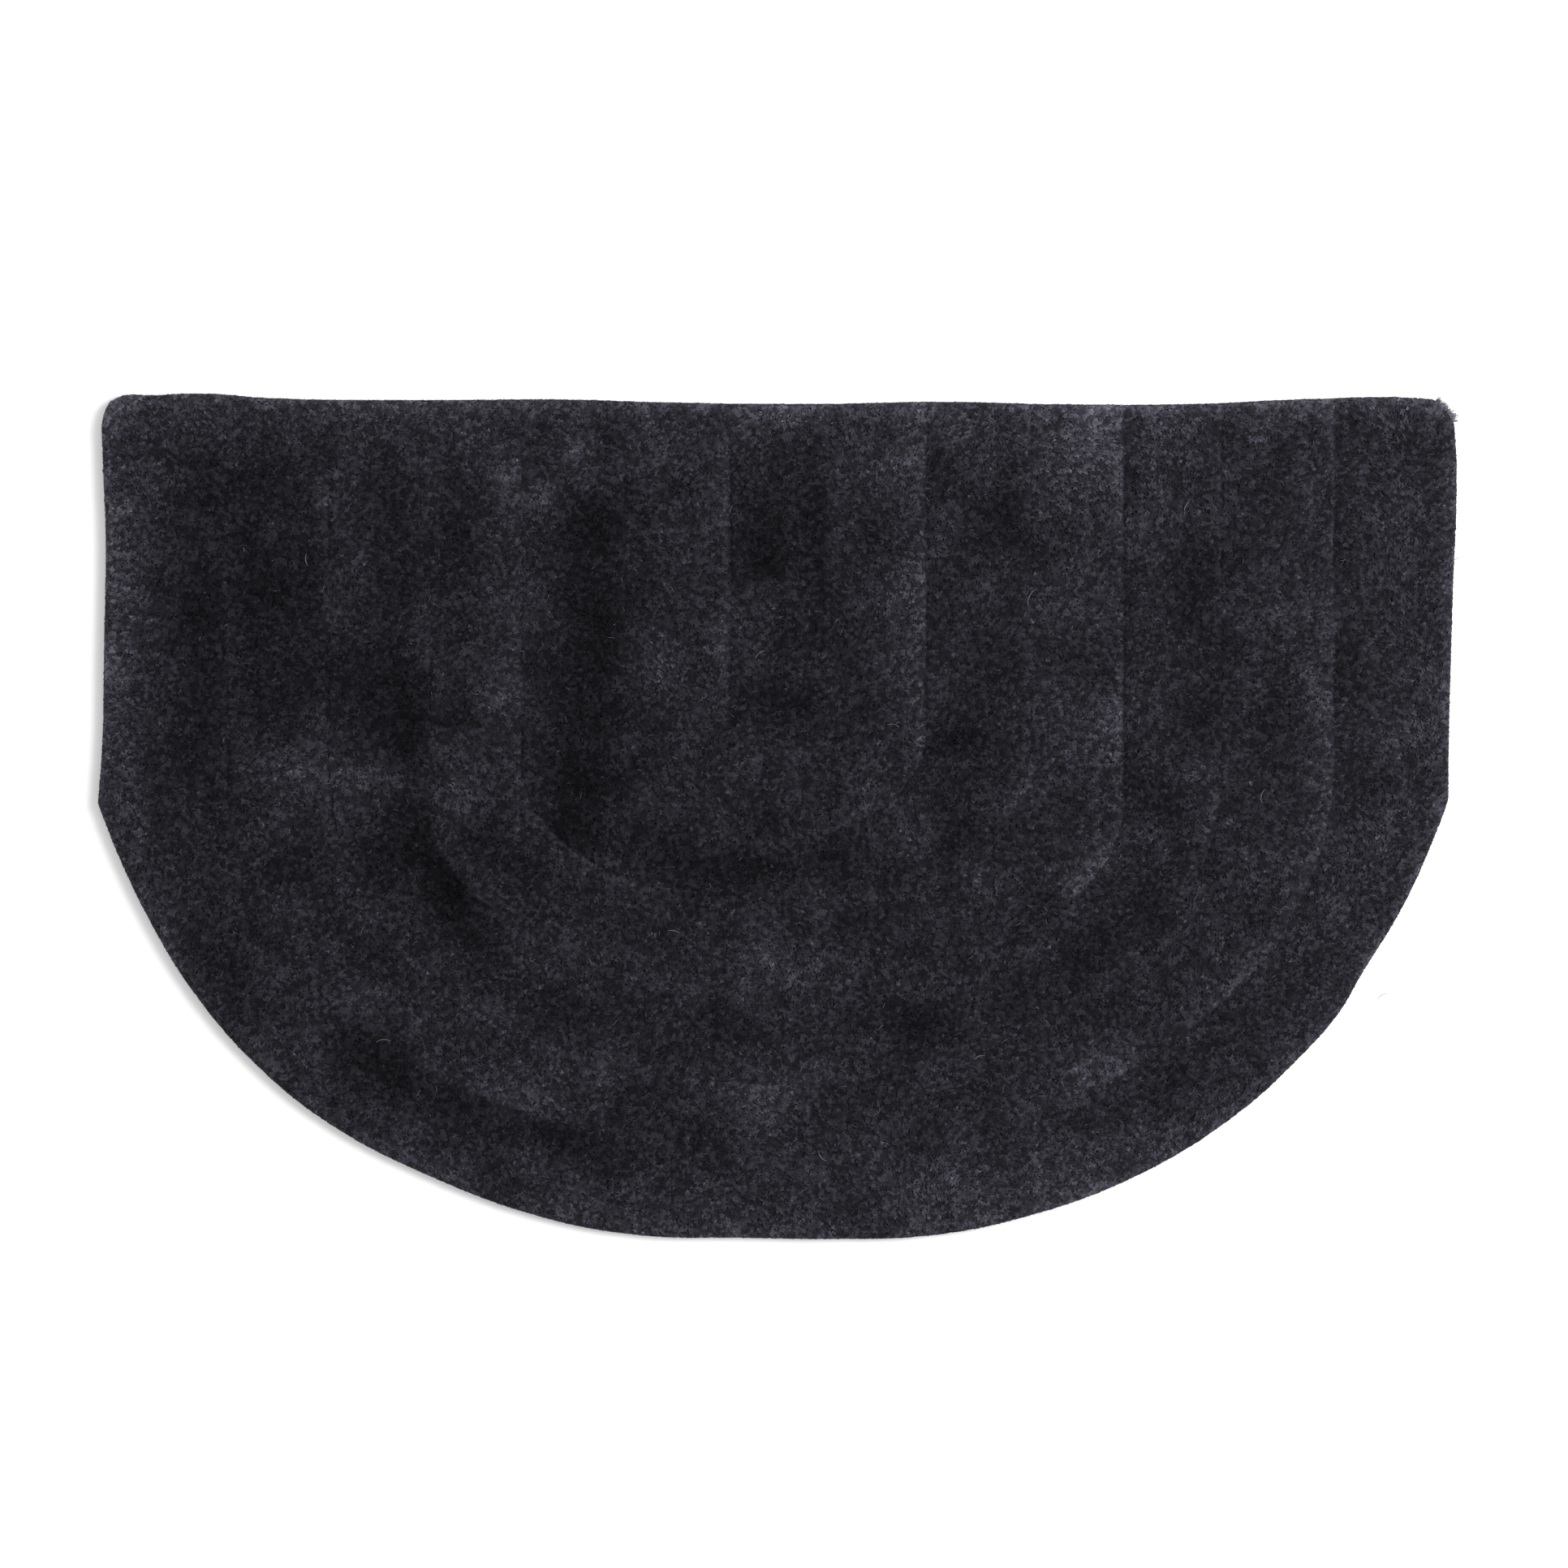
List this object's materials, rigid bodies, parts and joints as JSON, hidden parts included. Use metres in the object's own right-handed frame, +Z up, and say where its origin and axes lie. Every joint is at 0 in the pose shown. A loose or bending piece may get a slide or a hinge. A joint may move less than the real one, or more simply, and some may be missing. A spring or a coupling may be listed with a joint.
{
  "type": "half round doormat",
  "caption": "Flat half round doormat of dark cut pile, with one straight edge, a rounded front and nested U-shaped carved lines.",
  "frame": {"origin": "centre of the underside's bounding rectangle, on the surface that the mat lies on", "axes": "+Z up, +X along the straight edge, +Y from the round edge towards the straight edge"},
  "size_m": [0.7998, 0.4976, 0.012],
  "materials": {
    "pile": "matt cut pile, charcoal with a slight blue cast and paler flecks"
  },
  "bodies": {
    "root": {"mat": "pile"}
  },
  "joints": []
}
